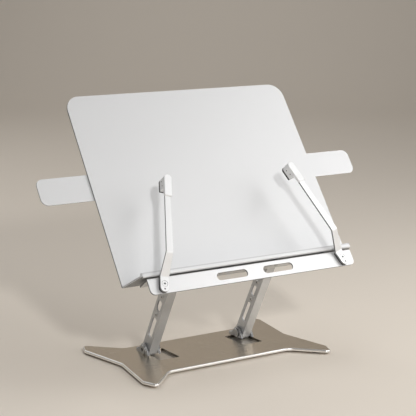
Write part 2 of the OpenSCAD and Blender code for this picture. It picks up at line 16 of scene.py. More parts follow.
import bmesh
import bpy
from mathutils import Matrix, Vector

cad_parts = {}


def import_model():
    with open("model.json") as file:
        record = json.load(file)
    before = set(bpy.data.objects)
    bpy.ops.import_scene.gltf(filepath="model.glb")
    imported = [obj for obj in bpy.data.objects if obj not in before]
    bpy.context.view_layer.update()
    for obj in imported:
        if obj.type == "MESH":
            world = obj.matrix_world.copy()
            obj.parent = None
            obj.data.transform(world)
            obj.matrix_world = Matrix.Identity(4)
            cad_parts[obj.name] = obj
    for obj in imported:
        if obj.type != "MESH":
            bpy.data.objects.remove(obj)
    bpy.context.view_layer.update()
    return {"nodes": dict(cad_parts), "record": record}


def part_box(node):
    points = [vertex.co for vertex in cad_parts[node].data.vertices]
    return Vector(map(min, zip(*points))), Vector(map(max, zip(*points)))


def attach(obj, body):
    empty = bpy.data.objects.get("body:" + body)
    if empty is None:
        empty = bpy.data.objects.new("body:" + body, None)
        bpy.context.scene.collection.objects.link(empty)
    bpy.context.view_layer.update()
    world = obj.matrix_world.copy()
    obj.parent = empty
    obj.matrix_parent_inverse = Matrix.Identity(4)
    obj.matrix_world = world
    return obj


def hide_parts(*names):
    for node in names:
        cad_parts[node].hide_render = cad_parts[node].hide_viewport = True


LOG = logging.getLogger("book_stand")
MM = 0.001
SIDES = ("left", "right")
ACROSS, DEPTH, UP = (Vector(way).freeze() for way in ((1, 0, 0), (0, 1, 0), (0, 0, 1)))
ARM_LEAN_DEG = 28.7

# Names of mesh attributes: the mask of polished edges and painted shade on faces in the making, the same mask on
# finished corners, a fastener's axis
FACE_MASK = "rounded"
EDGE_AND_SHADE_ATTRIBUTE = "broken_edge"
AXIS_ATTRIBUTE = "seat_axis"

# Limits for picking points, edges and faces, as lengths in metres, angles and cosines
WELD = 2e-6
LEVEL = 0.1 * MM
FLAT = math.radians(0.4)
SHARP = math.radians(32.0)
SQUARE = 0.1
FACING = 0.95

Colour = tuple[float, float, float]
Value = Union["Sock", float, int, str, Sequence[float], list["Sock"]]


class Grain(Enum):
    """How a metal surface was finished: the features of its grain per metre along X, Y and Z."""

    BLASTED = (1500.0, 1500.0, 1500.0)
    TURNED = (700.0, 700.0, 700.0)
    BRUSHED_ALONG_ARM = (2600.0, 2600.0, 30.0)
    BRUSHED_ACROSS = (30.0, 2600.0, 2600.0)


class Cut(Enum):
    """The values of the edge mask: the positive one for a polished edge, the negative one for a face darkened as
    painted shade.
    """

    POLISHED = 1.0
    # Painted shade: faces with this value are darkened to stand in for shadow
    RAW = -1.0


class Edge(Enum):
    """How the edges of a piece are broken: how far, in millimetres, and by how many faces across."""

    FINE = (0.12, 2)
    SMALL = (0.25, 2)
    FOLDED = (0.35, 2)
    SHEET = (0.35, 3)
    SOLE = (0.5, 2)
    STRIP = (0.5, 3)
    ROLLED = (0.8, 3)
    SOFT = (1.1, 4)
    PLATE = (1.6, 5)

    @property
    def width(self) -> float:
        """The width of the rounding, in metres."""
        return self.value[0] * MM

    @property
    def segments(self) -> int:
        """The number of faces across the rounding."""
        return self.value[1]


# Node graphs


class Sock:
    """A node socket that takes part in Python arithmetic."""

    def __init__(self, graph: Graph, socket: bpy.types.NodeSocket) -> None:
        """Keeps the graph that owns the socket, and the socket."""
        self.graph = graph
        self.socket = socket

    def _math(self, operation: str, first: Value, second: Value) -> Sock:
        """The result of a Math node on two operands."""
        return self.graph.node("ShaderNodeMath", {"operation": operation}, {0: first, 1: second})

    def __add__(self, other: Value) -> Sock:
        """self + other."""
        return self._math("ADD", self, other)

    def __radd__(self, other: Value) -> Sock:
        """other + self."""
        return self._math("ADD", other, self)

    def __sub__(self, other: Value) -> Sock:
        """self - other."""
        return self._math("SUBTRACT", self, other)

    def __rsub__(self, other: Value) -> Sock:
        """other - self."""
        return self._math("SUBTRACT", other, self)

    def __mul__(self, other: Value) -> Sock:
        """self * other."""
        return self._math("MULTIPLY", self, other)

    def __rmul__(self, other: Value) -> Sock:
        """other * self."""
        return self._math("MULTIPLY", other, self)

    def __neg__(self) -> Sock:
        """-self."""
        return self._math("MULTIPLY", self, -1.0)

    def above_zero(self) -> Sock:
        """The value, or 0 where it is negative."""
        return self._math("MAXIMUM", self, 0.0)


class Graph:
    """A node tree that is written as expressions."""

    def __init__(self, tree: bpy.types.NodeTree) -> None:
        """Keeps the tree that nodes are added to."""
        self.tree = tree

    def node(
        self,
        kind: str,
        settings: Mapping[str, Any] | None = None,
        sockets: Mapping[Union[int, str], Value] | None = None,
        out: Union[int, str] = 0,
    ) -> Sock:
        """Adds a node.

        Args:
            kind: The node's type.
            settings: Its properties, which are set first.
            sockets: The value of, or the link to, each input by its name or number.
            out: The output that is returned, by name or number.

        Returns:
            The chosen output.
        """
        made = self.tree.nodes.new(kind)
        for name, value in (settings or {}).items():
            setattr(made, name, value)
        for key, value in (sockets or {}).items():
            self.feed(made.inputs[key], value)
        return Sock(self, made.outputs[out])

    def feed(self, socket: bpy.types.NodeSocket, value: Value) -> None:
        """Links a socket, or sets its own value.

        Args:
            socket: The input.
            value: An output, a list of outputs for an input that takes several, or a plain value.
        """
        if isinstance(value, Sock):
            self.tree.links.new(value.socket, socket)
        elif isinstance(value, list):
            for item in value:
                self.feed(socket, item)
        elif socket.type == "RGBA":
            socket.default_value = (*value, 1.0)
        else:
            socket.default_value = value


class Shade(Graph):
    """The node tree of one material, around a Principled shader."""

    def __init__(self, name: str) -> None:
        """Makes the material and finds its shader.

        Args:
            name: The material's name.
        """
        self.material = bpy.data.materials.new(name)
        self.material.use_nodes = True
        super().__init__(self.material.node_tree)
        self.shader = next(n for n in self.tree.nodes if n.type == "BSDF_PRINCIPLED")

    def coordinates(self, turn_deg: Sequence[float] = (0, 0, 0), scale: Sequence[float] = (1, 1, 1)) -> Sock:
        """Object coordinates, turned and scaled.

        Args:
            turn_deg: The turn about X, Y and Z, in degrees.
            scale: The scale along X, Y and Z.

        Returns:
            The coordinates.
        """
        place = self.node("ShaderNodeTexCoord", out="Object")
        turn = tuple(math.radians(a) for a in turn_deg)
        return self.node("ShaderNodeMapping", {}, {"Vector": place, "Rotation": turn, "Scale": scale})

    def noise(self, vector: Sock, scale: float, detail: float = 2.0, rough: float = 0.5) -> Sock:
        """Smooth noise between 0 and 1, with its features per metre, its finer layers and their strength."""
        sockets = {"Vector": vector, "Scale": scale, "Detail": detail, "Roughness": rough}
        return self.node("ShaderNodeTexNoise", {}, sockets)

    def blend(self, share: Value, first: Value, second: Value) -> Sock:
        """Two colours mixed, by the share of the second."""
        return self.node("ShaderNodeMix", {"data_type": "RGBA"}, {0: share, 6: first, 7: second}, 2)

    def edge(self) -> Sock:
        """The edge mask of the piece: 1 on a polished edge, -1 on a face darkened as painted shade, and 0 elsewhere.
        """
        return self.node("ShaderNodeAttribute", {"attribute_name": EDGE_AND_SHADE_ATTRIBUTE}, {}, "Fac")

    def bump(self, height: Sock, depth: float) -> Sock:
        """A normal bumped by a height from 0 to 1, of a depth in metres."""
        return self.node("ShaderNodeBump", {}, {"Strength": 1.0, "Distance": depth, "Height": height})

    def finish(self, **sockets: Value) -> bpy.types.Material:
        """Feeds the shader.

        Args:
            sockets: The shader's inputs, named in small letters with underscores.

        Returns:
            The material.
        """
        names = {s.name.lower().replace(" ", "_"): s for s in self.shader.inputs}
        for name, value in sockets.items():
            self.feed(names[name], value)
        return self.material


# Finishes


def grey(level: float) -> Colour:
    """A neutral colour."""
    return (level, level, level)


def toned(colour: Colour, factor: float, lift: float = 0.0) -> Colour:
    """A colour times a factor, lifted a little."""
    return tuple(min(1.0, c * factor + lift) for c in colour)


@dataclass(frozen=True)
class Metal:
    """A worked metal surface with polished broken edges, and faces darkened as painted shade where its edge mask is
    negative.
    """

    # Noise settings, as features per metre, detail and roughness
    DRIFT = (9.0, 3.0)
    HANDLING = (38.0, 4.0, 0.6)
    EVEN_GRAIN = (1.0, 2.0)
    BRUSHED_GRAIN = (1.0, 3.0, 0.6)
    # Shares of the drift in the tone and of the colour kept on faces of painted shade, and how far grain and handling
    # change the roughness
    DRIFT_SHARE = 0.6
    RAW_SHARE = 0.3
    GRAIN_CHANGE = 0.10
    HANDLING_CHANGE = 0.07

    name: str
    colour: Colour
    edge_colour: Colour
    roughness: float
    grain: Grain
    tone: float
    grain_depth: float = 0.000004
    metallic: float = 1.0
    edge_roughness: float = 0.24

    def material(self) -> bpy.types.Material:
        """Builds the finish.

        Returns:
            The material.
        """
        shade = Shade(self.name)
        fine = self._fine(shade)
        drift = shade.noise(shade.coordinates(), *self.DRIFT)
        handled = shade.noise(shade.coordinates(), *self.HANDLING)
        edge = shade.edge()
        polished, painted_shade = edge.above_zero(), (-edge).above_zero()
        tones = toned(self.colour, 1 - self.tone), toned(self.colour, 1 + self.tone)
        face = shade.blend(drift * self.DRIFT_SHARE + fine * (1 - self.DRIFT_SHARE), *tones)
        bright = shade.blend(polished, face, self.edge_colour)
        # Painted shade: faces with a negative edge mask are darkened towards a third of the colour
        worn_and_shaded = shade.blend(painted_shade, bright, toned(self.colour, self.RAW_SHARE))
        changes = (fine - 0.5) * self.GRAIN_CHANGE + (handled - 0.5) * self.HANDLING_CHANGE
        rough = self.roughness + changes - polished * (self.roughness - self.edge_roughness)
        normal = shade.bump(fine, self.grain_depth)
        return shade.finish(base_color=worn_and_shaded, metallic=self.metallic, roughness=rough, normal=normal)

    def _fine(self, shade: Shade) -> Sock:
        """The fine grain of the finish.

        Args:
            shade: The material in the making.

        Returns:
            The grain, from 0 to 1.
        """
        even = self.grain in (Grain.BLASTED, Grain.TURNED)
        turn = (-ARM_LEAN_DEG, 0, 0) if self.grain is Grain.BRUSHED_ALONG_ARM else (0, 0, 0)
        place = shade.coordinates(turn, self.grain.value)
        return shade.noise(place, *(self.EVEN_GRAIN if even else self.BRUSHED_GRAIN))


@dataclass(frozen=True)
class Moulded:
    """A moulded plastic or rubber surface."""

    # Noise settings, then the factors and lift of its tones, their shares, and the changes of roughness
    DRIFT = (45.0, 3.0)
    PEBBLE = (3.0, 0.55)
    DEEP, PALE, LIFT = 0.9, 1.12, 0.012
    DRIFT_SHARE, EDGE_SHARE = 0.7, 0.35
    PEBBLE_CHANGE, EDGE_CHANGE = 0.16, 0.06

    name: str
    colour: Colour
    roughness: float
    pebble: float
    pebble_depth: float
    dust: float = 0.0

    def material(self) -> bpy.types.Material:
        """Builds the finish.

        Returns:
            The material.
        """
        shade = Shade(self.name)
        pebble = shade.noise(shade.coordinates(), self.pebble, *self.PEBBLE)
        drift = shade.noise(shade.coordinates(), *self.DRIFT)
        edge = shade.edge().above_zero()
        deep, pale = toned(self.colour, self.DEEP), toned(self.colour, self.PALE, self.LIFT + self.dust)
        face = shade.blend(drift * self.DRIFT_SHARE + pebble * (1 - self.DRIFT_SHARE), deep, pale)
        colour = shade.blend(edge * self.EDGE_SHARE, face, pale)
        rough = self.roughness + (pebble - 0.5) * self.PEBBLE_CHANGE - edge * self.EDGE_CHANGE
        return shade.finish(base_color=colour, roughness=rough, normal=shade.bump(pebble, self.pebble_depth))


class Palette:
    """The finishes of the stand, by the record's material slot or by the piece that has one of its own."""

    def __init__(self) -> None:
        """Builds each finish once."""
        blasted, turned = Grain.BLASTED, Grain.TURNED
        smooth, pebbled = 0.00001, 0.00003
        finishes: dict[str, Union[Metal, Moulded]] = {
            "tray_aluminium": Metal(
                "satin_anodised_sheet", (0.715, 0.717, 0.72), grey(0.90), 0.50, blasted, 0.015, metallic=0.35
            ),
            "rail": Metal("bright_anodised_rail", grey(0.75), grey(0.92), 0.44, blasted, 0.015, metallic=0.6),
            "clip": Metal("bright_anodised_strip", grey(0.80), grey(0.94), 0.42, blasted, 0.015, metallic=0.55),
            "base_metal": Metal(
                "satin_steel_plate",
                (0.72, 0.65, 0.555),
                (0.95, 0.94, 0.92),
                0.26,
                Grain.BRUSHED_ACROSS,
                0.06,
                edge_roughness=0.36,
            ),
            "arm_metal": Metal(
                "brushed_steel_channel",
                (0.60, 0.605, 0.61),
                grey(0.78),
                0.40,
                Grain.BRUSHED_ALONG_ARM,
                0.07,
                metallic=0.6,
                edge_roughness=0.46,
            ),
            "fastener_steel": Metal(
                "turned_fastener_steel", (0.58, 0.58, 0.575), grey(0.80), 0.42, turned, 0.04, 0.000002
            ),
            "cap_plastic": Moulded("light_grey_moulding", (0.86, 0.865, 0.87), 0.35, 1100.0, smooth),
            "washer_plastic": Moulded("black_nylon", (0.035, 0.035, 0.037), 0.45, 900.0, smooth),
            "shim_plastic": Moulded("black_shim_plastic", (0.022, 0.022, 0.023), 0.5, 900.0, smooth),
            "sole_rubber": Moulded("black_sole_rubber", grey(0.02), 0.78, 1300.0, pebbled, 0.004),
            "foot_rubber": Moulded("black_foot_rubber", grey(0.02), 0.8, 1300.0, pebbled, 0.006),
        }
        self._made = {slot: finish.material() for slot, finish in finishes.items()}

    def __getitem__(self, slot: str) -> bpy.types.Material:
        """The material of a slot."""
        return self._made[slot]


# Frame and meshes


@dataclass
class Stand:
    """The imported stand: its record, its CAD nodes and the directions of its tray as it is set up."""

    record: Mapping[str, Any]
    nodes: Mapping[str, bpy.types.Object]
    forward: Vector = field(init=False)
    up: Vector = field(init=False)

    def __post_init__(self) -> None:
        """Reads the tray's forward normal from the right clip's pivot axis."""
        self.forward = Vector(self.joint("clip_swing_right")["axis"]).normalized()
        self.up = self.forward.cross(ACROSS).normalized()
        if self.up.z < 0:
            self.up.negate()

    def joint(self, name: str) -> Mapping[str, Any]:
        """The record's entry of a joint."""
        return next(j for j in self.record["behaviour"]["joints"] if j["name"] == name)

    def body_of(self, node: str) -> str:
        """The CAD body that a node belongs to."""
        return next(b for b, members in self.record["behaviour"]["bodies"].items() if node in members)

    def slot_of(self, node: str) -> str:
        """The record's material slot of a node."""
        return next(s["material_slot"] for s in self.record["subparts"] if s["node"] == node)


def add_object(name: str, data: bpy.types.ID) -> bpy.types.Object:
    """Adds an object to the scene.

    Args:
        name: Its name.
        data: Its mesh, lamp or camera.

    Returns:
        The object.
    """
    made = bpy.data.objects.new(name, data)
    bpy.context.collection.objects.link(made)
    return made


def span(points: Iterable[Vector], way: Vector) -> tuple[float, float]:
    """The lowest and the highest place of some points along a direction."""
    places = [p.dot(way) for p in points]
    return min(places), max(places)


def solids_of(node: bpy.types.Object) -> list[list[Vector]]:
    """The points of each separate solid of a CAD node.

    Args:
        node: The CAD node.

    Returns:
        One list of points for each solid.
    """
    bm = bmesh.new()
    bm.from_mesh(node.data)
    bmesh.ops.remove_doubles(bm, verts=bm.verts, dist=WELD)
    seen: set[bmesh.types.BMVert] = set()
    found: list[list[Vector]] = []
    for start in bm.verts:
        if start in seen:
            continue
        seen.add(start)
        queue, island = [start], []
        while queue:
            vert = queue.pop()
            island.append(vert.co.copy())
            near = [other for other in (e.other_vert(vert) for e in vert.link_edges) if other not in seen]
            seen.update(near)
            queue.extend(near)
        found.append(island)
    bm.free()
    return found


class Workpiece:
    """A mesh in the making, with a mask of its polished faces and of its faces darkened as painted shade."""

    # A cut face is narrower than this, in metres
    THICKEST = 4.5 * MM

    def __init__(self, mesh: bpy.types.Mesh | None = None) -> None:
        """Starts the work.

        Args:
            mesh: The mesh that it starts from, or None for nothing.
        """
        self.bm = bmesh.new()
        if mesh is not None:
            self.bm.from_mesh(mesh)
        layers = self.bm.faces.layers.float
        self.mask = layers.get(FACE_MASK) or layers.new(FACE_MASK)

    @classmethod
    def copied(cls, node: bpy.types.Object) -> Workpiece:
        """A copy of a CAD node with its doubles merged and its flat faces joined.

        Args:
            node: The CAD node.

        Returns:
            The copy.
        """
        work = cls(node.data)
        bmesh.ops.remove_doubles(work.bm, verts=work.bm.verts, dist=WELD)
        bmesh.ops.dissolve_limit(work.bm, angle_limit=FLAT, verts=work.bm.verts, edges=work.bm.edges)
        return work

    @classmethod
    def evaluated(cls, maker: bpy.types.Object) -> Workpiece:
        """What an object's modifiers make, without edges that are too short to see.

        Args:
            maker: The object, which is removed.

        Returns:
            The mesh.
        """
        graph = bpy.context.evaluated_depsgraph_get()
        plain = bpy.data.meshes.new_from_object(maker.evaluated_get(graph), depsgraph=graph)
        bpy.data.objects.remove(maker)
        work = cls(plain)
        bpy.data.meshes.remove(plain)
        bmesh.ops.dissolve_degenerate(work.bm, dist=WELD, edges=work.bm.edges)
        return work

    def points(self) -> list[Vector]:
        """The points of the mesh."""
        return [v.co for v in self.bm.verts]

    def sharp_edges(self) -> list[bmesh.types.BMEdge]:
        """The edges where the surface folds."""
        return [e for e in self.bm.edges if len(e.link_faces) == 2 and e.calc_face_angle(0.0) > SHARP]

    def ring(self, centre: Vector, right: Vector, up: Vector, sides: int) -> list[bmesh.types.BMVert]:
        """Adds a ring of points, or one point where the ring has no size.

        Args:
            centre: The middle of the ring.
            right: The way from the middle to its first point.
            up: The way from the middle to the point a quarter turn on.
            sides: The number of its points.

        Returns:
            The points, in order.
        """
        turns = [2 * math.pi * i / sides for i in range(sides if right.length else 1)]
        return [self.bm.verts.new(centre + right * math.cos(a) + up * math.sin(a)) for a in turns]

    def loft(self, rings: Sequence[Sequence[bmesh.types.BMVert]]) -> None:
        """Joins each ring of points to the next one by faces.

        Args:
            rings: The rings, in order, each with as many points as the others or with one.
        """
        for lower, upper in zip(rings, rings[1:]):
            sides = max(len(lower), len(upper))
            for i in range(sides):
                j = (i + 1) % sides
                corners = [lower[i % len(lower)], lower[j % len(lower)], upper[j % len(upper)], upper[i % len(upper)]]
                self.bm.faces.new(list(dict.fromkeys(corners)))

    def turn_outwards(self) -> None:
        """Makes every face point outwards."""
        bmesh.ops.recalc_face_normals(self.bm, faces=self.bm.faces)

    def mark(self, value: float, chosen: Callable[[bmesh.types.BMFace], bool]) -> None:
        """Sets the mask on some faces.

        Args:
            value: The mask's value.
            chosen: Tells which faces get it.
        """
        for face in self.bm.faces:
            if chosen(face):
                face[self.mask] = value

    def mark_cuts(self, normal: Vector, cut: Cut) -> None:
        """Marks the narrow faces that stand square to a sheet, where it was cut.

        Args:
            normal: The sheet's normal.
            cut: How the cut faces look.
        """

        def is_cut(face: bmesh.types.BMFace) -> bool:
            """Whether a face is square to the sheet and no wider than a sheet is thick."""
            longest = max(e.calc_length() for e in face.edges)
            return abs(face.normal.dot(normal)) < SQUARE and face.calc_area() < self.THICKEST * longest

        self.mark(cut.value, is_cut)

    def break_edges(self, edge: Edge, within: set[bmesh.types.BMEdge] | None = None) -> None:
        """Rounds the sharp edges and marks the new faces as polished.

        Args:
            edge: How they are broken.
            within: The edges to choose from, or None for all.
        """
        made = bmesh.ops.bevel(
            self.bm,
            geom=[e for e in self.sharp_edges() if within is None or e in within],
            offset=edge.width,
            offset_type="OFFSET",
            segments=edge.segments,
            profile=0.5,
            affect="EDGES",
            clamp_overlap=True,
            loop_slide=True,
        )
        for face in made["faces"]:
            if face.is_valid:
                face[self.mask] = Cut.POLISHED.value

    def united(self, other: Workpiece) -> Workpiece:
        """Unites this closed mesh with another one.

        Args:
            other: The other mesh, which is used up as this one is.

        Returns:
            The one closed mesh, with the mask of both.
        """
        first, second = self.plain_object("part"), other.plain_object("part")
        union = first.modifiers.new("union", "BOOLEAN")
        union.operation = "UNION"
        union.solver = "EXACT"
        union.object = second
        made = Workpiece.evaluated(first)
        bpy.data.objects.remove(second)
        return made

    def plain_object(self, name: str) -> bpy.types.Object:
        """Ends the work and makes an object of it.

        Args:
            name: The object's name.

        Returns:
            The object.
        """
        mesh = bpy.data.meshes.new(name)
        self.bm.to_mesh(mesh)
        self.bm.free()
        return add_object(name, mesh)

    def finished(self, name: str, smooth_deg: float = 40.0) -> bpy.types.Object:
        """Ends the work and makes a smooth piece of it, with the mask on its corners and its large faces flat.

        Args:
            name: The piece's name.
            smooth_deg: The angle under which neighbouring faces shade smoothly.

        Returns:
            The piece, at the origin.
        """
        values = [face[self.mask] for face in self.bm.faces]
        piece = self.plain_object(name)
        mesh = piece.data
        mesh.attributes.remove(mesh.attributes[FACE_MASK])
        mask = mesh.attributes.new(EDGE_AND_SHADE_ATTRIBUTE, "FLOAT", "CORNER")
        for face, value in zip(mesh.polygons, values):
            for corner in face.loop_indices:
                mask.data[corner].value = value
        mesh.polygons.foreach_set("use_smooth", [True] * len(mesh.polygons))
        mesh.set_sharp_from_angle(angle=math.radians(smooth_deg))
        weighted = piece.modifiers.new("flat_faces", "WEIGHTED_NORMAL")
        weighted.mode = "FACE_AREA"
        weighted.weight = 100
        weighted.keep_sharp = True
        return piece


class Dresser:
    """Gives finished pieces their material, body and CAD node."""

    def __init__(self, stand: Stand, palette: Palette) -> None:
        """Keeps the frame and the finishes."""
        self.stand = stand
        self.palette = palette

    def dress(self, piece: bpy.types.Object, node: str, finish: str | None = None) -> None:
        """Makes a piece stand for a CAD node.

        Args:
            piece: The finished piece.
            node: The CAD node that it replaces.
            finish: The palette's finish, or None for that of the node's own slot.
        """
        slot = self.stand.slot_of(node)
        piece.data.materials.clear()
        piece.data.materials.append(self.palette[finish or slot])
        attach(piece, self.stand.body_of(node))
        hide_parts(node)
        LOG.info("%s stands for %s, %d faces", piece.name, node, len(piece.data.polygons))

    def broken(self, node: str, edge: Edge, sheet: Vector | None = None, finish: str | None = None) -> None:
        """Dresses a CAD node as itself with its edges broken.

        Args:
            node: The CAD node.
            edge: How its edges are broken.
            sheet: The normal of the sheet, whose cut faces are darkened as painted shade.
            finish: The palette's finish, or None for that of the node's own slot.
        """
        work = Workpiece.copied(self.stand.nodes[node])
        if sheet is not None:
            # Painted shade: the sheet's cut faces are darkened
            work.mark_cuts(sheet, Cut.RAW)
        work.break_edges(edge)
        self.dress(work.finished(f"{node}_sheet"), node, finish)

    def softened(self, node: str, edge: Edge, inner_share: float) -> None:
        """Dresses a moulded CAD node as itself with its outer edges rounded more than its inner ones.

        Args:
            node: The CAD node.
            edge: How its outer edges are rounded.
            inner_share: The share of that width on its other edges.
        """
        work = Workpiece.copied(self.stand.nodes[node])
        weights = work.bm.edges.layers.float.new("bevel_weight_edge")
        points = work.points()
        outer = {f for f in work.bm.faces if all((p - f.verts[0].co).dot(f.normal) < WELD for p in points)}
        for sharp in work.sharp_edges():
            sharp[weights] = 1.0 if outer.issuperset(sharp.link_faces) else inner_share
        maker = work.plain_object(f"{node}_plain")
        bevel = maker.modifiers.new("rounding", "BEVEL")
        bevel.limit_method = "WEIGHT"
        bevel.width = edge.width
        bevel.segments = edge.segments
        self.dress(Workpiece.evaluated(maker).finished(f"{node}_moulding"), node)


# Fasteners, made by Geometry Nodes


@dataclass(frozen=True)
class FastenerSizes:
    """The sizes of a fastener, in millimetres, each of which is a named input of its tree."""

    @classmethod
    def names(cls) -> list[str]:
        """The names of the inputs, in order."""
        return [size.name.replace("_", " ").title() for size in fields(cls)]

    def inputs(self) -> dict[str, float]:
        """The value of each input, in metres."""
        return {name: size * MM for name, size in zip(self.names(), astuple(self))}


@dataclass(frozen=True)
class RivetSizes(FastenerSizes):
    """A shank with a domed head at each end."""

    head_radius: float
    head_height: float
    shank_radius: float
    shank_length: float
    far_head_height: float


@dataclass(frozen=True)
class TubeRivetSizes(FastenerSizes):
    """A tube with a rolled head at each end."""

    head_radius: float
    head_height: float
    tube_radius: float
    bore_radius: float
    tube_length: float


@dataclass(frozen=True)
class ScrewSizes(FastenerSizes):
    """A screw with a bevelled head, a six-sided socket and a shank."""

    head_radius: float
    head_height: float
    head_bevel: float
    socket_radius: float
    socket_depth: float
    shank_radius: float
    shank_length: float


@dataclass(frozen=True)
class RoundNutSizes(FastenerSizes):
    """A plain round nut with a bevelled rim and a shallow dish in its face."""

    radius: float
    height: float
    bevel: float
    dish_radius: float
    dish_depth: float


@dataclass(frozen=True)
class CapNutSizes(FastenerSizes):
    """A six-sided foot with bevelled corners under a dome."""

    corner_radius: float
    foot_height: float
    dome_radius: float
    dome_height: float


class FastenerTree(Graph):
    """A Geometry Nodes tree that sets one fastener on every seat of a point mesh."""

    DOME_SIDES, DOME_RINGS = 32, 16

    def __init__(self, name: str, kind: type[FastenerSizes]) -> None:
        """Makes the tree and its named inputs.

        Args:
            name: The tree's name.
            kind: The sizes that it takes.
        """
        tree = bpy.data.node_groups.new(name, "GeometryNodeTree")
        tree.is_modifier = True
        super().__init__(tree)
        self._socket("Seats", "INPUT", "Geometry")
        self.identifiers = {size: self._socket(size, "INPUT", "Float") for size in kind.names()}
        self.identifiers["Finish"] = self._socket("Finish", "INPUT", "Material")
        self._socket("Fasteners", "OUTPUT", "Geometry")
        self._start = tree.nodes.new("NodeGroupInput")
        self._end = tree.nodes.new("NodeGroupOutput")
        self.sizes = [self._given(size) for size in kind.names()]

    def _socket(self, name: str, way: str, kind: str) -> str:
        """Adds an input or output of the tree, and gives its identifier."""
        made = self.tree.interface.new_socket(name=name, in_out=way, socket_type=f"NodeSocket{kind}")
        return made.identifier

    def _given(self, name: str) -> Sock:
        """The value of a named input."""
        return Sock(self, self._start.outputs[name])

    def _vector(self, x: Value, y: Value, z: Value) -> Sock:
        """A vector of three values."""
        return self.node("ShaderNodeCombineXYZ", {}, {0: x, 1: y, 2: z})

    def moved(self, shape: Sock, z: Value) -> Sock:
        """A shape moved along its axis."""
        return self.node("GeometryNodeTransform", {}, {"Geometry": shape, "Translation": self._vector(0.0, 0.0, z)})

    def rod(self, radius: Value, low: Value, length: Value, sides: int) -> Sock:
        """A closed prism or cylinder on the axis, from its low end and with its radius to the corners."""
        solid = self.node("GeometryNodeMeshCylinder", {}, {"Vertices": sides, "Radius": radius, "Depth": length})
        return self.moved(solid, length * 0.5 + low)

    def cone(self, low_radius: Value, high_radius: Value, low: Value, height: Value, sides: int) -> Sock:
        """A closed cone with a flat top on the axis.

        Args:
            low_radius: The radius of its foot.
            high_radius: The radius of its top.
            low: Where its foot lies along the axis.
            height: Its height.
            sides: The number of its sides.

        Returns:
            The solid.
        """
        sockets = {"Vertices": sides, "Radius Bottom": low_radius, "Radius Top": high_radius, "Depth": height}
        return self.moved(self.node("GeometryNodeMeshCone", {}, sockets), low)

    def dome(self, radius: Value, low: Value, height: Value) -> Sock:
        """A closed half ellipsoid that stands on a flat face.

        Args:
            radius: The radius of its foot.
            low: Where its foot lies along the axis.
            height: Its height.

        Returns:
            The solid.
        """
        sides, just_below, weld = self.DOME_SIDES, -0.01, 0.0001
        sockets = {"Segments": sides, "Rings": self.DOME_RINGS, "Radius": 1.0}
        ball = self.node("GeometryNodeMeshUVSphere", {}, sockets)
        z = self.node("ShaderNodeSeparateXYZ", {}, {0: self.node("GeometryNodeInputPosition")}, "Z")
        less = {"data_type": "FLOAT", "operation": "LESS_THAN"}
        below = self.node("FunctionNodeCompare", less, {0: z, 1: just_below})
        cut = self.node("GeometryNodeDeleteGeometry", {"domain": "POINT"}, {"Geometry": ball, "Selection": below})
        foot = self.node("GeometryNodeMeshCircle", {"fill_type": "NGON"}, {"Vertices": sides, "Radius": 1.0})
        turned = self.node("GeometryNodeFlipFaces", {}, {"Mesh": foot})
        joined = self.joined(cut, turned)
        closed = self.node("GeometryNodeMergeByDistance", {}, {"Geometry": joined, "Distance": weld})
        scale = self._vector(radius, radius, height)
        return self.moved(self.node("GeometryNodeTransform", {}, {"Geometry": closed, "Scale": scale}), low)

    def joined(self, *shapes: Sock) -> Sock:
        """Several shapes as one geometry."""
        return self.node("GeometryNodeJoinGeometry", {}, {0: list(reversed(shapes))})

    def combined(self, operation: str, *solids: Sock) -> Sock:
        """The union or the intersection of closed shapes."""
        settings = {"operation": operation, "solver": "EXACT"}
        return self.node("GeometryNodeMeshBoolean", settings, {"Mesh 2": list(solids)})

    def drilled(self, solid: Sock, tool: Sock) -> Sock:
        """A closed shape less another one."""
        settings = {"operation": "DIFFERENCE", "solver": "EXACT"}
        return self.node("GeometryNodeMeshBoolean", settings, {"Mesh 1": solid, "Mesh 2": tool})

    def close(self, fastener: Sock) -> FastenerTree:
        """Sets the fastener on every seat, along the seat's axis, and ends the tree.

        Args:
            fastener: One fastener, its head standing on the origin along +Z.

        Returns:
            The tree.
        """
        axis = self.node("GeometryNodeInputNamedAttribute", {"data_type": "FLOAT_VECTOR"}, {"Name": AXIS_ATTRIBUTE})
        turn = self.node("FunctionNodeAlignRotationToVector", {"axis": "Z"}, {"Vector": axis})
        sockets = {"Points": self._given("Seats"), "Instance": fastener, "Rotation": turn}
        placed = self.node("GeometryNodeInstanceOnPoints", {}, sockets)
        real = self.node("GeometryNodeRealizeInstances", {}, {"Geometry": placed})
        painted = self.node("GeometryNodeSetMaterial", {}, {"Geometry": real, "Material": self._given("Finish")})
        self.feed(self._end.inputs[0], painted)
        return self


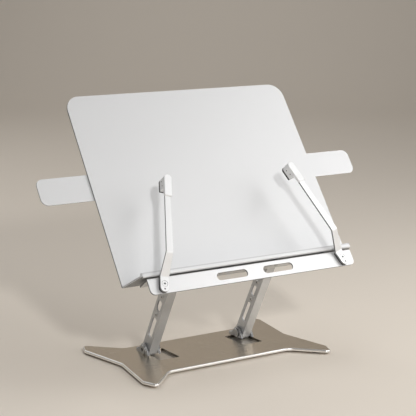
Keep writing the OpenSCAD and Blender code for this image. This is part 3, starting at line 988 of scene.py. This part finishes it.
class Fasteners:
    """The trees of the stand's fasteners, and how they are set on CAD nodes."""

    # How far solids reach into each other before they are united, and the sides of round ones
    OVERLAP = 0.1 * MM
    HEXAGON, SHANK_SIDES, HEAD_SIDES, NUT_SIDES = 6, 24, 40, 48
    # Shares of a radius: a rolled head's top, a dish's floor, and the foot and top of the cone that bevels a cap nut
    ROLLED_TOP, DISH_FLOOR, BEVEL_FOOT, BEVEL_TOP = 0.72, 0.9, 1.12, 0.86
    SMOOTH_DEG = 35.0

    def __init__(self, dresser: Dresser) -> None:
        """Builds each tree once.

        Args:
            dresser: What dresses the fasteners.
        """
        self.dresser = dresser
        self.rivet = self._rivet_tree()
        self.screw = self._screw_tree()
        self.cap_nut = self._cap_nut_tree()
        self.round_nut = self._round_nut_tree()
        self.tube_rivet = self._tube_rivet_tree()

    def _rivet_tree(self) -> FastenerTree:
        """The rivet with two domed heads.

        Returns:
            The tree.
        """
        tree = FastenerTree("domed_rivet", RivetSizes)
        head, height, radius, length, far_height = tree.sizes
        dome = tree.dome(head, 0.0, height)
        shank = tree.rod(radius, -length, length, self.SHANK_SIDES)
        far = tree.dome(head, 0.0, far_height)
        turned = tree.node("GeometryNodeTransform", {}, {"Geometry": far, "Rotation": (math.pi, 0.0, 0.0)})
        return tree.close(tree.joined(dome, shank, tree.moved(turned, -length)))

    def _screw_tree(self) -> FastenerTree:
        """The socket screw.

        Returns:
            The tree.
        """
        tree = FastenerTree("socket_screw", ScrewSizes)
        radius, height, bevel, socket_radius, depth, shank_radius, length = tree.sizes
        body = tree.rod(radius, 0.0, height - bevel, self.HEAD_SIDES)
        top = tree.cone(radius, radius - bevel, height - bevel, bevel, self.HEAD_SIDES)
        shank = tree.rod(shank_radius, -length, length + self.OVERLAP, self.SHANK_SIDES)
        socket = tree.rod(socket_radius, height - depth, depth + self.OVERLAP, self.HEXAGON)
        return tree.close(tree.drilled(tree.combined("UNION", body, top, shank), socket))

    def _cap_nut_tree(self) -> FastenerTree:
        """The cap nut.

        Returns:
            The tree.
        """
        tree = FastenerTree("cap_nut", CapNutSizes)
        corner, foot, radius, height = tree.sizes
        sunk = 2 * self.OVERLAP
        prism = tree.rod(corner, 0.0, foot, self.HEXAGON)
        bevel = tree.cone(corner * self.BEVEL_FOOT, corner * self.BEVEL_TOP, 0.0, foot, self.NUT_SIDES)
        dome = tree.dome(radius, foot - sunk, height + sunk)
        return tree.close(tree.joined(tree.combined("INTERSECT", prism, bevel), dome))

    def _round_nut_tree(self) -> FastenerTree:
        """The round nut.

        Returns:
            The tree.
        """
        tree = FastenerTree("round_nut", RoundNutSizes)
        radius, height, bevel, dish_radius, depth = tree.sizes
        body = tree.rod(radius, 0.0, height - bevel, self.NUT_SIDES)
        top = tree.cone(radius, radius - bevel, height - bevel, bevel, self.NUT_SIDES)
        floor, deep = dish_radius * self.DISH_FLOOR, depth + self.OVERLAP
        dish = tree.cone(floor, dish_radius, height - depth, deep, self.NUT_SIDES)
        return tree.close(tree.drilled(tree.combined("UNION", body, top), dish))

    def _tube_rivet_tree(self) -> FastenerTree:
        """The tubular rivet.

        Returns:
            The tree.
        """
        tree = FastenerTree("tube_rivet", TubeRivetSizes)
        head, height, radius, bore_radius, length = tree.sizes
        over, rolled = self.OVERLAP, head * self.ROLLED_TOP
        near = tree.cone(head, rolled, 0.0, height, self.HEAD_SIDES)
        tube = tree.rod(radius, -length - over, length + 2 * over, self.HEAD_SIDES)
        far = tree.cone(rolled, head, -length - height, height, self.HEAD_SIDES)
        whole = length + 2 * height + 2 * over
        bore = tree.rod(bore_radius, -length - height - over, whole, self.SHANK_SIDES)
        return tree.close(tree.drilled(tree.combined("UNION", near, tube, far), bore))

    def place(
        self,
        tree: FastenerTree,
        node: str,
        axis: Vector,
        sizes: FastenerSizes,
        mirrored: bool = False,
        seat: float | None = None,
        finish: str | None = None,
    ) -> None:
        """Sets a tree's fasteners where a CAD node has its solids.

        Args:
            tree: The fastener's tree.
            node: The CAD node of the plain fasteners.
            axis: The direction from shank to head.
            sizes: The fastener's sizes.
            mirrored: Whether the axis is turned round on the left side of the stand.
            seat: How far the seat lies under a CAD solid's top, in millimetres, or None for the head's height.
            finish: The palette's finish, or None for that of the node's own slot.
        """
        stand = self.dresser.stand
        inputs = sizes.inputs()
        head = inputs["Head Height"] if seat is None else seat * MM
        seats, axes = [], []
        for points in solids_of(stand.nodes[node]):
            on_left = sum(span(points, ACROSS)) < 0
            axes.append(-axis if mirrored and on_left else axis)
            seats.append(self._seat(points, axes[-1], head))
        mesh = bpy.data.meshes.new(f"{node}_seats")
        mesh.from_pydata(seats, [], [])
        ways = mesh.attributes.new(AXIS_ATTRIBUTE, "FLOAT_VECTOR", "POINT")
        for item, way in zip(ways.data, axes):
            item.vector = way
        maker = add_object(f"{node}_seats", mesh)
        modifier = maker.modifiers.new("fasteners", "NODES")
        modifier.node_group = tree.tree
        for name, value in inputs.items():
            modifier[tree.identifiers[name]] = value
        modifier[tree.identifiers["Finish"]] = self.dresser.palette[stand.slot_of(node)]
        work = Workpiece.evaluated(maker)
        work.turn_outwards()
        # Painted shade: the walls and floors of sockets and bores are darkened
        hollow = inputs.get("Socket Radius", inputs.get("Bore Radius"))
        if hollow is not None:
            self._darken_hollows(work, seats, axes, hollow, head)
        # Painted shade: the round nut's side is darkened, standing in for the shadow round its face
        if tree is self.round_nut:
            work.mark_cuts(axes[0], Cut.RAW)
        self.dresser.dress(work.finished(f"{node}_set", self.SMOOTH_DEG), node, finish)

    @staticmethod
    def _seat(points: Sequence[Vector], axis: Vector, head: float) -> Vector:
        """Where a fastener's head sits.

        Args:
            points: The points of the fastener's solid.
            axis: The direction from its shank to its head.
            head: The height of its head.

        Returns:
            The point under the middle of the head.
        """
        side = axis.orthogonal().normalized()
        middle = Vector()
        for way in (side, axis.cross(side)):
            middle += way * sum(span(points, way)) / 2
        return middle + axis * (span(points, axis)[1] - head)

    @staticmethod
    def _darken_hollows(
        work: Workpiece, seats: Sequence[Vector], axes: Sequence[Vector], radius: float, head: float
    ) -> None:
        """Paints shade on the walls and floors of sockets and bores, by giving them the darkening mask value.

        Args:
            work: The fasteners' mesh.
            seats: The point under the middle of each head.
            axes: The axis of each fastener.
            radius: The radius of the hollow.
            head: The height of the head.
        """
        reach, slant = radius * 1.02, 0.5

        def in_hollow(face: bmesh.types.BMFace) -> bool:
            """Tells whether a face lies in the nearest fastener's hollow.

            Args:
                face: The face.

            Returns:
                Whether it is a wall or the floor of the hollow.
            """
            middle = face.calc_center_median()
            seat, axis = min(zip(seats, axes), key=lambda pair: (pair[0] - middle).length)
            height = (middle - seat).dot(axis)
            spoke = middle - seat - axis * height
            along = face.normal.dot(axis)
            wall = face.normal.dot(spoke) < 0 and abs(along) < slant
            floor = along > slant and 0 < height < head - LEVEL
            return spoke.length < reach and (wall or floor)

        work.mark(Cut.RAW.value, in_hollow)


# Sub-assemblies


@dataclass
class SubAssembly:
    """Pieces of the stand that are built together, with their sizes in millimetres."""

    dresser: Dresser
    fasteners: Fasteners

    @property
    def stand(self) -> Stand:
        """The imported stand."""
        return self.dresser.stand

    def build(self) -> None:
        """Builds and dresses every piece."""
        raise NotImplementedError


@dataclass
class HingeHardware(SubAssembly):
    """The screws and nuts of the pair of hinges at one end of the arms."""

    end: str
    up: Vector
    # A nut's height less a hair
    nut_seat: float = 2.59
    nut: RoundNutSizes = RoundNutSizes(radius=5.5, height=2.6, bevel=0.6, dish_radius=4.2, dish_depth=0.25)
    bracket_screw: ScrewSizes = ScrewSizes(
        head_radius=2.5,
        head_height=1.6,
        head_bevel=0.5,
        socket_radius=1.1,
        socket_depth=0.9,
        shank_radius=1.5,
        shank_length=3.8,
    )
    pivot_screw: ScrewSizes = ScrewSizes(
        head_radius=5.5,
        head_height=2.2,
        head_bevel=0.8,
        socket_radius=2.3,
        socket_depth=1.3,
        shank_radius=3.0,
        shank_length=20.5,
    )

    def build(self) -> None:
        """Sets the screws of the brackets, then the screws and nuts of the pivots."""
        fasteners, end = self.fasteners, self.end
        fasteners.place(fasteners.screw, f"{end}_bracket_screws", self.up, self.bracket_screw)
        fasteners.place(fasteners.screw, f"{end}_pivot_screws", ACROSS, self.pivot_screw, mirrored=True)
        nuts = f"{end}_pivot_nuts"
        fasteners.place(fasteners.round_nut, nuts, -ACROSS, self.nut, mirrored=True, seat=self.nut_seat)


@dataclass
class BasePlate(SubAssembly):
    """The plate base with its feet, brackets and lower hinge hardware."""

    recess_step: float = 0.2
    recess_mask: float = 0.4
    # How far a rounding of the lower rim faces down before it is darkened as painted shade
    rim_slant: float = 0.2
    foot_sides: int = 40
    foot_smooth_deg: float = 30.0
    foot_chamfer: float = 0.7
    foot_chamfer_bulge: float = 0.3
    foot_ring_depth: float = 0.5
    foot_ring_slope: float = 0.4
    foot_ring_radii: tuple[float, float] = (3.4, 5.0)

    def build(self) -> None:
        """Builds and dresses every piece of the base."""
        self._plate()
        for side in SIDES:
            # Painted shade: the brackets' cut faces are darkened
            self.dresser.broken(f"base_bracket_{side}", Edge.FOLDED, ACROSS, "arm_metal")
        self._feet()
        self.dresser.broken("base_washers", Edge.FINE)
        HingeHardware(self.dresser, self.fasteners, "base", UP).build()

    def _plate(self) -> None:
        """Builds the plate, with a bright upper edge, and painted shade on its lower rim and on the walls round the
        recesses' floors.
        """
        work = Workpiece.copied(self.stand.nodes["base_plate"])
        low, top = span(work.points(), UP)
        step = self.recess_step * MM
        work.mark_cuts(UP, Cut.POLISHED)
        # Painted shade on the walls of the recesses, which stand above the plate's bottom
        work.mark(
            Cut.RAW.value,
            lambda face: abs(face.normal.z) < SQUARE and min(v.co.z for v in face.verts) > low + step,
        )
        work.break_edges(Edge.PLATE, self._outline(work, top))
        work.break_edges(Edge.SOFT, self._outline(work, low))
        # Painted shade on the rounding under the plate's rim
        work.mark(Cut.RAW.value, lambda face: face[work.mask] > 0 and face.normal.z < -self.rim_slant)
        work.mark(
            self.recess_mask,
            lambda face: face.normal.z > FACING and max(v.co.z for v in face.verts) < top - step,
        )
        self.dresser.dress(work.finished("base_plate_sheet"), "base_plate")

    @staticmethod
    def _outline(work: Workpiece, height: float) -> set[bmesh.types.BMEdge]:
        """The edges of the plate's bright cut faces at one height."""
        level = [e for e in work.bm.edges if all(abs(height - v.co.z) < LEVEL for v in e.verts)]
        return {e for e in level if any(f[work.mask] > 0 for f in e.link_faces)}

    def _feet(self) -> None:
        """Builds the rubber feet as turned pads with a grip ring under each."""
        low, high = (corner[2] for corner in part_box("base_feet"))
        chamfer, groove = self.foot_chamfer * MM, self.foot_ring_depth * MM
        bulge, slope = chamfer * self.foot_chamfer_bulge, groove * self.foot_ring_slope
        inner, outer = (r * MM for r in self.foot_ring_radii)
        work = Workpiece()
        for points in solids_of(self.stand.nodes["base_feet"]):
            (west, east), (south, north) = span(points, ACROSS), span(points, DEPTH)
            radius = (east - west) / 2
            profile = (
                (0.0, low),
                (inner, low),
                (inner + slope, low + groove),
                (outer - slope, low + groove),
                (outer, low),
                (radius - chamfer, low),
                (radius - bulge, low + bulge),
                (radius, low + chamfer),
                (radius, high),
                (0.0, high),
            )
            middle = Vector(((west + east) / 2, (south + north) / 2, 0.0))
            work.loft([work.ring(middle + UP * z, ACROSS * r, DEPTH * r, self.foot_sides) for r, z in profile])
        work.turn_outwards()
        self.dresser.dress(work.finished("base_feet_pads", self.foot_smooth_deg), "base_feet")


@dataclass
class Arms(SubAssembly):
    """The two slotted channel arms."""

    rivet: TubeRivetSizes = TubeRivetSizes(
        head_radius=2.75, head_height=1.0, tube_radius=1.6, bore_radius=1.0, tube_length=12.0
    )

    def build(self) -> None:
        """Builds and dresses every piece of the arms."""
        for side in SIDES:
            self.dresser.broken(f"arm_{side}", Edge.FOLDED)
        for node in ("arm_lower_bushes", "arm_upper_bushes", "arm_spacers"):
            self.dresser.broken(node, Edge.FINE)
        self.fasteners.place(self.fasteners.tube_rivet, "arm_rivets", ACROSS, self.rivet, mirrored=True)


@dataclass
class Tray(SubAssembly):
    """The panel with its shelf, rail, hinge brackets and wing guides."""

    # The darkening of the shelf's underside, as painted shade
    underside_mask: float = -0.8
    lip_bend: float = 1.4
    lip_front: float = 0.5
    # The depth and darkening of a painted shadow strip along the top of the lip's front
    lip_line: float = 1.5
    line_mask: float = -0.3
    hem_radius: float = 2.2
    hem_drop: float = 1.5
    hem_sides: int = 24
    hem_cap_steps: int = 6
    rail_rivet: RivetSizes = RivetSizes(
        head_radius=2.75, head_height=1.0, shank_radius=1.6, shank_length=7.0, far_head_height=0.05
    )
    guide_rivet: RivetSizes = RivetSizes(
        head_radius=2.5, head_height=1.0, shank_radius=1.2, shank_length=2.2, far_head_height=0.05
    )

    def build(self) -> None:
        """Builds and dresses every piece of the tray."""
        forward, up = self.stand.forward, self.stand.up
        self._panel()
        # Painted shade: the rail's cut faces are darkened
        self.dresser.broken("front_rail", Edge.SHEET, forward, "rail")
        for side in SIDES:
            self.dresser.broken(f"tray_bracket_{side}", Edge.FOLDED)
            self.dresser.broken(f"wing_guide_{side}", Edge.SMALL)
        self.dresser.broken("rail_spacers", Edge.SMALL)
        self.dresser.broken("tray_washers", Edge.FINE)
        HingeHardware(self.dresser, self.fasteners, "tray", -forward).build()
        self.fasteners.place(self.fasteners.rivet, "rail_rivets", -up, self.rail_rivet)
        self.fasteners.place(self.fasteners.rivet, "guide_rivets", -forward, self.guide_rivet)

    def _panel(self) -> None:
        """Builds the folded panel, with painted shade on its shelf's underside, on its cut faces and along the top of
        its lip's front, and a rolled hem under its lip.
        """
        stand = self.stand
        bend = self.lip_bend * MM
        work = Workpiece.copied(stand.nodes["back_panel"])
        # Painted shade on the shelf's underside
        work.mark(self.underside_mask, lambda face: face.normal.dot(-stand.up) > FACING)
        # Painted shade on the panel's cut faces
        work.mark_cuts(stand.forward, Cut.RAW)
        work.break_edges(Edge.ROLLED)
        front = span(work.points(), stand.forward)[1]
        lip = [p for p in work.points() if front - p.dot(stand.forward) < bend]
        line = span(lip, stand.up)[1] - self.lip_line * MM
        parts = [*work.bm.verts, *work.bm.edges, *work.bm.faces]
        bmesh.ops.bisect_plane(work.bm, geom=parts, plane_co=stand.up * line, plane_no=stand.up)

        def in_shadow_line(face: bmesh.types.BMFace) -> bool:
            """Tells whether a face lies in the painted shadow strip along the top of the lip's front.

            Args:
                face: The face.

            Returns:
                Whether it is on the lip's front and above the strip's lower edge.
            """
            middle = face.calc_center_median()
            near = front - middle.dot(stand.forward) < bend
            return near and face.normal.dot(stand.forward) > SQUARE and middle.dot(stand.up) > line

        # Painted shadow along the top of the lip's front
        work.mark(self.line_mask, in_shadow_line)
        piece = work.united(self._hem(work)).finished("back_panel_sheet")
        self.dresser.dress(piece, "back_panel")

    def _hem(self, panel: Workpiece) -> Workpiece:
        """Makes the rolled hem that runs under the lip, closed by a rounded cap at each end.

        Args:
            panel: The panel's mesh.

        Returns:
            The hem's mesh.
        """
        stand = self.stand
        front = span(panel.points(), stand.forward)[1]
        lip = [p for p in panel.points() if front - p.dot(stand.forward) < self.lip_front * MM]
        below = span(lip, stand.up)[0]
        left, right = span(lip, ACROSS)
        radius = self.hem_radius * MM
        middle = stand.forward * (front - radius) + stand.up * (below + radius - self.hem_drop * MM)
        steps = self.hem_cap_steps
        swings = [math.pi / 2 * step / steps for step in range(1, steps + 1)]
        hem = Workpiece()
        rings = []
        for end, way, turns in ((left, 1.0, swings), (right, -1.0, swings[::-1])):
            for swing in turns:
                size = radius * math.sin(swing)
                centre = middle + ACROSS * (end + way * (radius - size))
                rings.append(hem.ring(centre, stand.forward * size, stand.up * size, self.hem_sides))
        hem.loft(rings)
        hem.bm.faces.new(rings[0])
        hem.bm.faces.new(rings[-1])
        hem.turn_outwards()
        return hem


@dataclass
class Wings(SubAssembly):
    """The two side wings that slide behind the panel."""

    def build(self) -> None:
        """Builds and dresses both wings."""
        for side in SIDES:
            # Painted shade: the wings' cut faces are darkened
            self.dresser.broken(f"wing_{side}", Edge.SHEET, self.stand.forward)


@dataclass
class PageClips(SubAssembly):
    """The two page clips with their caps, soles, shims and pivot screws."""

    cap_inner_share: float = 0.25
    lean_deg: float = 17.4
    pin_sides: int = 24
    pin_radius: float = 0.75
    pin_proud: float = 0.04
    pin_places: tuple[tuple[float, float], ...] = ((6.5, 5.0), (13.0, 7.0))
    # A nut's height less a hair
    nut_seat: float = 2.59
    nut: CapNutSizes = CapNutSizes(corner_radius=4.0, foot_height=2.1, dome_radius=2.9, dome_height=1.4)
    screw: ScrewSizes = ScrewSizes(
        head_radius=3.5,
        head_height=1.3,
        head_bevel=0.25,
        socket_radius=1.4,
        socket_depth=1.0,
        shank_radius=2.0,
        shank_length=8.1,
    )

    def build(self) -> None:
        """Builds and dresses both clips."""
        forward = self.stand.forward
        for side in SIDES:
            # Painted shade: the strips' cut sides are darkened
            self.dresser.broken(f"clip_bar_{side}", Edge.STRIP, forward, "clip")
            self.dresser.softened(f"clip_cap_{side}", Edge.SOFT, self.cap_inner_share)
            self._pins(side)
            self.dresser.broken(f"clip_sole_{side}", Edge.SOLE)
            self.dresser.broken(f"clip_shim_{side}", Edge.SMALL)
        self.fasteners.place(self.fasteners.screw, "clip_screws", forward, self.screw, finish="clip")
        self.fasteners.place(self.fasteners.cap_nut, "clip_nuts", -forward, self.nut, seat=self.nut_seat)

    def _pins(self, side: str) -> None:
        """Adds the two dark cross pins whose ends show in a cap's sides.

        Args:
            side: left or right.
        """
        stand = self.stand
        inward = ACROSS if side == "left" else -ACROSS
        lean = math.radians(self.lean_deg)
        along = stand.up * math.cos(lean) + inward * math.sin(lean)
        across = along.cross(stand.forward).normalized()
        points = [v.co for v in stand.nodes[f"clip_cap_{side}"].data.vertices]
        top, back = span(points, along)[1], span(points, stand.forward)[0]
        near, far = span(points, across)
        turn = Matrix((stand.forward, along, across)).transposed().to_4x4()
        work = Workpiece()
        for down, out in self.pin_places:
            middle = along * (top - down * MM) + stand.forward * (back + out * MM) + across * (near + far) / 2
            bmesh.ops.create_cone(
                work.bm,
                cap_ends=True,
                segments=self.pin_sides,
                radius1=self.pin_radius * MM,
                radius2=self.pin_radius * MM,
                depth=far - near + 2 * self.pin_proud * MM,
                matrix=Matrix.Translation(middle) @ turn,
            )
        work.turn_outwards()
        piece = work.finished(f"clip_cap_{side}_pins")
        slot = stand.slot_of(f"clip_shim_{side}")
        piece.data.materials.append(self.dresser.palette[slot])
        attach(piece, stand.body_of(f"clip_cap_{side}"))
        LOG.info("%s shows in the sides of clip_cap_%s", piece.name, side)


# Studio, with its sizes in metres


@dataclass(frozen=True)
class Softbox:
    """A soft light, square unless it has a height of its own."""

    name: str
    place: tuple[float, float, float]
    aim: tuple[float, float, float]
    side: float
    power: float
    height: float | None = None

    def build(self) -> None:
        """Adds the light to the scene."""
        lamp = bpy.data.lights.new(self.name, "AREA")
        lamp.shape = "RECTANGLE"
        lamp.size = self.side
        lamp.size_y = self.height or self.side
        lamp.energy = self.power
        made = add_object(self.name, lamp)
        made.location = self.place
        made.rotation_euler = (Vector(self.aim) - Vector(self.place)).to_track_quat("-Z", "Y").to_euler()


@dataclass
class Studio:
    """Floor, backdrop, lights and camera."""

    hinge: Vector
    floor_colour: Colour = (0.90, 0.82, 0.72)
    floor_shade: float = 0.985
    floor_drift: tuple[float, float] = (2.0, 2.0)
    floor_roughness: float = 0.55
    floor_half: float = 5.0
    sweep_start: float = 2.6
    sweep_radius: float = 1.4
    sweep_steps: int = 12
    sky_colour: Colour = (0.90, 0.88, 0.86)
    sky_strength: float = 0.10
    lens_mm: float = 115.63
    sensor_mm: float = 36.0
    sight: float = 50.0
    camera_from_hinge: tuple[float, float, float] = (-0.87383, -1.39686, 0.48444)
    camera_tilt_deg: float = 10.77
    camera_turn_deg: float = -32.5
    lights: tuple[Softbox, ...] = (
        Softbox("key", (-0.55, -1.95, 1.10), (0.0, 0.0, 0.2), 0.18, 19.5),
        Softbox("sheen", (0.86, -0.56, 0.80), (0.12, 0.0, 0.2), 0.95, 5.9),
        Softbox("edge", (1.3, -2.0, 0.78), (0.0, 0.0, 0.03), 3.4, 15.0, 1.3),
        Softbox("top", (-0.1, 0.3, 2.4), (-0.1, 0.0, 0.0), 1.4, 8.0),
        Softbox("rim", (-0.5, 1.6, 1.6), (0.0, 0.0, 0.2), 1.6, 9.0),
        Softbox("backdrop", (1.3, 2.2, 2.0), (1.7, 2.9, 0.0), 1.5, 6.5),
    )

    def build(self) -> None:
        """Builds the stage and the camera."""
        self._floor()
        self._sky()
        for light in self.lights:
            light.build()
        self._camera()

    def _floor(self) -> None:
        """Adds a pale floor that sweeps up into a backdrop far behind the stand."""
        start, radius, half = self.sweep_start, self.sweep_radius, self.floor_half
        angles = [math.pi / 2 * i / self.sweep_steps for i in range(self.sweep_steps + 1)]
        sweep = [(start + radius * math.sin(a), radius * (1 - math.cos(a))) for a in angles]
        profile = [(-half, 0.0), *sweep, (start + radius, half)]
        points = [(x, y, z) for y, z in profile for x in (-half, half)]
        faces = [(2 * i, 2 * i + 1, 2 * i + 3, 2 * i + 2) for i in range(len(profile) - 1)]
        mesh = bpy.data.meshes.new("floor")
        mesh.from_pydata(points, [], faces)
        mesh.polygons.foreach_set("use_smooth", [True] * len(mesh.polygons))
        floor = add_object("floor", mesh)
        floor.rotation_euler = (0.0, 0.0, math.radians(self.camera_turn_deg))
        shade = Shade("pale_floor")
        drift = shade.noise(shade.coordinates(), *self.floor_drift)
        colour = shade.blend(drift, toned(self.floor_colour, self.floor_shade), self.floor_colour)
        mesh.materials.append(shade.finish(base_color=colour, roughness=self.floor_roughness))

    def _sky(self) -> None:
        """Sets an even pale sky."""
        world = bpy.data.worlds.new("studio")
        bpy.context.scene.world = world
        world.use_nodes = True
        shader = next(n for n in world.node_tree.nodes if n.type == "BACKGROUND")
        shader.inputs["Color"].default_value = (*self.sky_colour, 1.0)
        shader.inputs["Strength"].default_value = self.sky_strength

    def _camera(self) -> None:
        """Sets the camera that looks at the stand from the front left, a little from above."""
        lens = bpy.data.cameras.new("photo_view")
        lens.sensor_width = self.sensor_mm
        lens.lens = self.lens_mm
        lens.clip_end = self.sight
        made = add_object("photo_view", lens)
        made.location = self.hinge + Vector(self.camera_from_hinge)
        made.rotation_euler = (math.radians(90 - self.camera_tilt_deg), 0.0, math.radians(self.camera_turn_deg))
        bpy.context.scene.camera = made
        bpy.context.scene.view_settings.view_transform = "Standard"


def main() -> None:
    """Builds the stand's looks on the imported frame."""
    logging.basicConfig(level=logging.INFO, format="%(name)s: %(message)s")
    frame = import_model()
    stand = Stand(frame["record"], frame["nodes"])
    dresser = Dresser(stand, Palette())
    fasteners = Fasteners(dresser)
    for part in (BasePlate, Arms, Tray, Wings, PageClips):
        part(dresser, fasteners).build()
    Studio(Vector(stand.joint("arm_lift")["pos_m"])).build()


if __name__ == "__main__":
    main()
